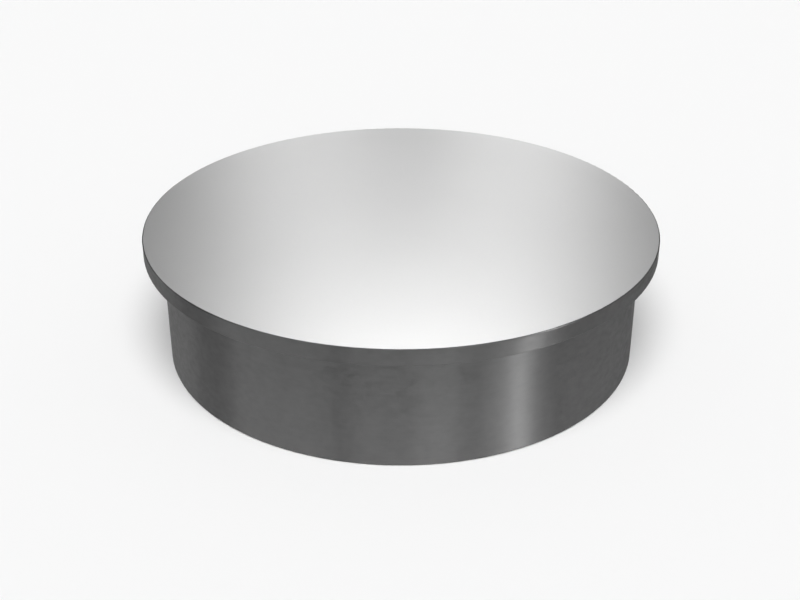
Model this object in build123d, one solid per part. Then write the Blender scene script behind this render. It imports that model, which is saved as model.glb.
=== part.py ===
from build123d import *
import os

# Sanitary end cap: one turned piece of stainless steel that closes a 2 in sanitary tube.
#
# A thin flat flange, as wide as the tube's outside, sits on the tube's end. A solid cylindrical
# plug below it enters the bore. The flange's underside is the seat that bears on the tube's end.
#
# Millimetres. +Z is the cap's axis and points out of the flange's flat face. The origin is on that
# axis at the plug's flat end, so the cap stands on z = 0.

# The tube that the cap closes: 2 in outside diameter with a 0.065 in wall.
TUBE_OUTSIDE = 50.8
TUBE_WALL = 1.65

# Flange: flush with the tube's outside.
FLANGE_DIAMETER = TUBE_OUTSIDE
FLANGE_THICKNESS = 1.65

# Plug: slides into the tube's bore.
BORE_CLEARANCE = 0.15  # radial, all round
PLUG_DIAMETER = TUBE_OUTSIDE - 2 * TUBE_WALL - 2 * BORE_CLEARANCE
PLUG_LENGTH = 11.35

# Corners of the turned section.
RIM_BREAK = 0.1  # radius on both edges of the flange's rim
LEAD_IN = 0.15  # chamfer at the plug's end
ROOT_RADIUS = 0.1  # between plug and seat, inside the clearance so that the tube's edge misses it


def half_section() -> Sketch:
    """The cap's half section in the XZ plane, from the axis outwards."""
    plug_radius = PLUG_DIAMETER / 2
    flange_radius = FLANGE_DIAMETER / 2
    top = PLUG_LENGTH + FLANGE_THICKNESS
    plug = Pos(plug_radius / 2, PLUG_LENGTH / 2) * Rectangle(plug_radius, PLUG_LENGTH)
    flange = Pos(flange_radius / 2, top - FLANGE_THICKNESS / 2) * Rectangle(
        flange_radius, FLANGE_THICKNESS
    )
    section = plug + flange

    def corner(radius: float, height: float) -> Vertex:
        return section.vertices().sort_by_distance((radius, height, 0))[0]

    section = fillet(
        [corner(flange_radius, top), corner(flange_radius, PLUG_LENGTH)], RIM_BREAK
    )
    section = fillet(corner(plug_radius, PLUG_LENGTH), ROOT_RADIUS)
    section = chamfer(corner(plug_radius, 0), LEAD_IN)
    return Plane.XZ * section


def end_cap() -> Part:
    """The turned cap, as one solid."""
    cap = revolve(half_section(), Axis.Z)
    cap.label = "end_cap"
    return cap


os.makedirs("parts", exist_ok=True)
export_step(end_cap(), "parts/end_cap.step")
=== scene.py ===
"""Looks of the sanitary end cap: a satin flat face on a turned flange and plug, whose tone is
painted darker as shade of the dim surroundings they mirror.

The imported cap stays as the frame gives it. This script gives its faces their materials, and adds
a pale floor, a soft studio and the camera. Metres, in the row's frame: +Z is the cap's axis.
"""

import math

import bpy
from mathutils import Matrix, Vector


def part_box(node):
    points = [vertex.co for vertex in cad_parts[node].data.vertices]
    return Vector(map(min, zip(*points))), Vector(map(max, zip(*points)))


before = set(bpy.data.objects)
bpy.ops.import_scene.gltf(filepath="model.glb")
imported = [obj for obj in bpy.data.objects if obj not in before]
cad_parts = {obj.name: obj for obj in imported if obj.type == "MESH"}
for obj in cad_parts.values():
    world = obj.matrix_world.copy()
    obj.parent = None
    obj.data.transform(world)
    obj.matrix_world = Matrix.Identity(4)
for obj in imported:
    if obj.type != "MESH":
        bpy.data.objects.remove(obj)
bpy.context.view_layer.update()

LOW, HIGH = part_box("end_cap")
RADIUS = (HIGH.x - LOW.x) / 2
TOP = HIGH.z
MM = 0.001

# painted shade: the wall's tone is multiplied by these at the plug's end and at the rim, so that
# it reads lighter towards the plug's end and darker at the rim, as its reflections fall
PLUG_END_PAINTED_LIGHT = 1.05
RIM_PAINTED_SHADE = 0.85

# azimuths, which grow clockwise as seen from above, and the elevation straight up
BEHIND = 0
FRONT = 180
OVERHEAD = 90

# the low row of softboxes that the wall mirrors: how high its middle stands, and its height
ROW = {"elevation": 15, "height": 25}

# the height of a direction (the sine of its elevation) and the room's brightness there
ROOM = ((0.05, 0.8), (0.2, 0.2))

# the floor's soft round lamp: its strength, how wide it looks and how high it stands
FLOOR_LAMP_STRENGTH = 3.1
FLOOR_LAMP_WIDTH = 40
FLOOR_LAMP_ELEVATION = 62

# half the width of the floor, in metres
FLOOR_REACH = 6.0

# the camera: field of view and elevation in degrees, then lengths in radii of the cap
FIELD_OF_VIEW = 35.0
CAMERA_ELEVATION = 28.5
CAMERA_DISTANCE = 5.145
AIM_ASIDE = -0.004
AIM_BELOW_TOP = 0.36


# ---------------------------------------------------------------- node helpers


class Graph:
    """A material's or world's node tree, with short calls to add and link nodes."""

    def __init__(self, owner):
        owner.use_nodes = True
        self.tree = owner.node_tree
        self.tree.nodes.clear()

    def add(self, kind, **settings):
        node = self.tree.nodes.new(kind)
        for name, value in settings.items():
            setattr(node, name, value)
        return node

    def link(self, source, target):
        self.tree.links.new(source, target)

    def feed(self, socket, value):
        """Sets a socket to a number, or links it to another socket."""
        if isinstance(value, bpy.types.NodeSocket):
            self.link(value, socket)
        else:
            socket.default_value = value

    def math(self, operation, *values):
        node = self.add("ShaderNodeMath", operation=operation)
        for socket, value in zip(node.inputs, values):
            self.feed(socket, value)
        return node.outputs[0]

    def blend(self, factor, low, high, start=0.0, end=1.0):
        """Goes from low to high as factor goes from start to end."""
        node = self.add("ShaderNodeMapRange")
        self.feed(node.inputs["Value"], factor)
        self.feed(node.inputs["From Min"], start)
        self.feed(node.inputs["From Max"], end)
        self.feed(node.inputs["To Min"], low)
        self.feed(node.inputs["To Max"], high)
        return node.outputs[0]

    def noise(self, vector, scale, detail=2.0):
        node = self.add("ShaderNodeTexNoise")
        self.link(vector, node.inputs["Vector"])
        node.inputs["Scale"].default_value = scale
        node.inputs["Detail"].default_value = detail
        return node.outputs[0]

    def stretch(self, vector, upright):
        """The vector with its Z scaled, so that what it places is that much flatter."""
        node = self.add("ShaderNodeVectorMath", operation="MULTIPLY")
        self.link(vector, node.inputs[0])
        node.inputs[1].default_value = (1.0, 1.0, upright)
        return node.outputs[0]

    def combine(self, *values):
        node = self.add("ShaderNodeCombineXYZ")
        for socket, value in zip(node.inputs, values):
            self.feed(socket, value)
        return node.outputs[0]


# ---------------------------------------------------------------- materials


def steel_material(name):
    """A metal surface: its graph, its shader and its position on the cap."""
    material = bpy.data.materials.new(name)
    graph = Graph(material)
    shader = graph.add("ShaderNodeBsdfPrincipled")
    shader.inputs["Metallic"].default_value = 1.0
    output = graph.add("ShaderNodeOutputMaterial")
    graph.link(shader.outputs[0], output.inputs["Surface"])
    position = graph.add("ShaderNodeTexCoord").outputs["Object"]
    return material, graph, shader, position


def grey(graph, value):
    return graph.combine(value, value, value)


def satin_face():
    """The flat faces: an even, fine satin."""
    material, graph, shader, position = steel_material("satin_face")
    cloud = graph.noise(position, 1 / (9 * MM))
    grain = graph.noise(position, 1 / (0.25 * MM))
    tone = graph.math("ADD", graph.blend(cloud, -0.01, 0.01), graph.blend(grain, 0.61, 0.63))
    graph.link(grey(graph, tone), shader.inputs["Base Color"])
    graph.link(graph.blend(cloud, 0.32, 0.34), shader.inputs["Roughness"])
    shader.inputs["Specular Tint"].default_value = (0.5, 0.5, 0.5, 1.0)
    return material


def turned_wall():
    """The turned rim and plug: fine grooves round the axis, which draw reflections out upright."""
    material, graph, shader, position = steel_material("turned_wall")
    axes = graph.add("ShaderNodeSeparateXYZ")
    graph.link(position, axes.inputs[0])
    height = axes.outputs["Z"]
    cloud = graph.noise(position, 1 / (6 * MM))
    grooves = graph.noise(graph.combine(0.0, 0.0, height), 1 / (0.3 * MM))
    # painted shade: the tone grows lighter towards the plug's end and darker towards the rim
    painted_height_shade = graph.blend(height, PLUG_END_PAINTED_LIGHT, RIM_PAINTED_SHADE, start=LOW.z, end=TOP)
    mottle = graph.noise(graph.stretch(position, 1.5), 1 / (0.8 * MM), detail=3.0)
    # painted shade: the same steel as the face, given a far darker tone that stands in for the dim
    # surroundings the wall mirrors; the grooves vary it at random
    groove_tone_and_painted_shade = graph.math("ADD", graph.blend(cloud, -0.01, 0.01), graph.blend(grooves, 0.14, 0.15))
    height_shaded_tone = graph.math("MULTIPLY", groove_tone_and_painted_shade, painted_height_shade)
    tone = graph.math("MULTIPLY", height_shaded_tone, graph.blend(mottle, 1.03, 0.97))
    graph.link(grey(graph, tone), shader.inputs["Base Color"])
    roughness = graph.math("ADD", graph.blend(cloud, -0.01, 0.01), graph.blend(mottle, 0.30, 0.54))
    graph.link(roughness, shader.inputs["Roughness"])
    shader.inputs["Anisotropic"].default_value = 1.0
    shader.inputs["Anisotropic Rotation"].default_value = 0.25
    shader.inputs["Specular Tint"].default_value = (0.55, 0.55, 0.55, 1.0)
    tangent = graph.add("ShaderNodeTangent", direction_type="RADIAL", axis="Z")
    graph.link(tangent.outputs[0], shader.inputs["Tangent"])
    bump = graph.add("ShaderNodeBump")
    bump.inputs["Strength"].default_value = 1.0
    bump.inputs["Distance"].default_value = 0.003 * MM
    graph.link(mottle, bump.inputs["Height"])
    graph.link(bump.outputs[0], shader.inputs["Normal"])
    return material


def dress(node):
    """Gives the flat faces and the turned faces of the cap their own materials."""
    mesh = node.data
    mesh.materials.clear()
    mesh.materials.append(satin_face())
    mesh.materials.append(turned_wall())
    for face in mesh.polygons:
        flat = abs(face.normal.z) > 0.999 and not (LOW.z + MM < face.center.z < TOP - MM)
        face.material_index = 0 if flat else 1


# ---------------------------------------------------------------- studio


def toward(azimuth, elevation):
    """A direction from the cap. For the camera, azimuth 0 is behind it and 90 to its right."""
    a = math.radians(azimuth)
    e = math.radians(elevation)
    return Vector((math.sin(a) * math.cos(e), math.cos(a) * math.cos(e), math.sin(e)))


def panel(name, azimuth, elevation, width, height, radiance, distance=1.0):
    """A soft rectangular lamp, facing the cap. Its width and height are angles, in degrees."""
    lamp = bpy.data.lights.new(name, "AREA")
    lamp.shape = "RECTANGLE"
    lamp.size = 2 * distance * math.tan(math.radians(width / 2))
    lamp.size_y = 2 * distance * math.tan(math.radians(height / 2))
    lamp.energy = radiance * math.pi * lamp.size * lamp.size_y
    place = bpy.data.objects.new(name, lamp)
    direction = toward(azimuth, elevation)
    place.location = direction * distance
    place.rotation_euler = direction.to_track_quat("Z", "Y").to_euler()
    place.visible_diffuse = False
    bpy.context.scene.collection.objects.link(place)


def floor():
    """A plain pale floor, wide enough to reach the horizon."""
    size = FLOOR_REACH
    mesh = bpy.data.meshes.new("floor")
    corners = [(-size, -size, 0), (size, -size, 0), (size, size, 0), (-size, size, 0)]
    mesh.from_pydata(corners, [], [(0, 1, 2, 3)])
    ground = bpy.data.objects.new("floor", mesh)
    bpy.context.scene.collection.objects.link(ground)
    material = bpy.data.materials.new("floor")
    graph = Graph(material)
    shader = graph.add("ShaderNodeBsdfPrincipled")
    shader.inputs["Base Color"].default_value = (0.88, 0.88, 0.88, 1.0)
    shader.inputs["Roughness"].default_value = 0.9
    shader.inputs["Specular IOR Level"].default_value = 0.0
    output = graph.add("ShaderNodeOutputMaterial")
    graph.link(shader.outputs[0], output.inputs["Surface"])
    mesh.materials.append(material)


def studio():
    """The room: dim, with a pale band where it meets the floor."""
    world = bpy.data.worlds.new("studio")
    bpy.context.scene.world = world
    graph = Graph(world)
    axes = graph.add("ShaderNodeSeparateXYZ")
    graph.link(graph.add("ShaderNodeTexCoord").outputs["Generated"], axes.inputs[0])
    ramp = graph.add("ShaderNodeValToRGB")
    ramp.color_ramp.interpolation = "EASE"
    elements = ramp.color_ramp.elements
    for element, (place, level) in zip(elements, ROOM):
        element.position = place
        element.color = (level, level, level, 1.0)
    graph.link(axes.outputs["Z"], ramp.inputs[0])
    background = graph.add("ShaderNodeBackground")
    graph.link(ramp.outputs[0], background.inputs["Color"])
    output = graph.add("ShaderNodeOutputWorld")
    graph.link(background.outputs[0], output.inputs["Surface"])


def front_lamp():
    """A round soft lamp high in front, which lights the floor. The shadow falls behind the cap."""
    lamp = bpy.data.lights.new("front_lamp", "SUN")
    lamp.angle = math.radians(FLOOR_LAMP_WIDTH)
    lamp.energy = FLOOR_LAMP_STRENGTH
    place = bpy.data.objects.new("front_lamp", lamp)
    place.rotation_euler = toward(FRONT, FLOOR_LAMP_ELEVATION).to_track_quat("Z", "Y").to_euler()
    place.visible_glossy = False
    bpy.context.scene.collection.objects.link(place)


def lights():
    """The face mirrors the panels behind the cap and overhead; its wall mirrors the low row."""
    front_lamp()
    panel("ceiling", BEHIND, OVERHEAD, 60, 60, 1.0)
    panel("key", BEHIND + 1, 38, 16, 8, 6.0)
    panel("low_left", BEHIND - 6, 18, 8, 8, 3.0)
    panel("low_right", BEHIND + 7, 18, 8, 8, 3.5)

    panel("left_rear", FRONT + 120, width=30, radiance=1.5, **ROW)
    panel("left", FRONT + 55, width=50, radiance=2.0, **ROW)
    panel("front_left", FRONT + 10, width=25, radiance=2.2, **ROW)
    panel("front_right", FRONT - 15, width=20, radiance=3.5, **ROW)
    panel("front_side", FRONT - 35, width=20, radiance=1.5, **ROW)
    panel("right", FRONT - 100, width=50, radiance=1.0, **ROW)

    # The bright streak: a strip over a core over a wide glow, so that it fades to its sides. Each
    # has its own distance, because panels that overlap in one plane lose part of their light.
    panel("glow", FRONT - 53, width=30, radiance=2.0, **ROW)
    panel("glow_core", FRONT - 53, width=12, radiance=5.0, distance=0.96, **ROW)
    panel("strip", FRONT - 53, width=3, radiance=15.0, distance=0.92, **ROW)


def camera():
    """Looks down on the cap from the front."""
    lens = bpy.data.cameras.new("camera")
    lens.angle = math.radians(FIELD_OF_VIEW)
    lens.clip_start = RADIUS / 10
    lens.clip_end = 100.0
    place = bpy.data.objects.new("camera", lens)
    aim = Vector((AIM_ASIDE * RADIUS, 0.0, TOP - AIM_BELOW_TOP * RADIUS))
    back = toward(FRONT, CAMERA_ELEVATION)
    place.location = aim + back * CAMERA_DISTANCE * RADIUS
    place.rotation_euler = back.to_track_quat("Z", "Y").to_euler()
    bpy.context.scene.collection.objects.link(place)
    bpy.context.scene.camera = place


dress(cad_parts["end_cap"])
floor()
studio()
lights()
camera()
bpy.context.scene.view_settings.view_transform = "Standard"
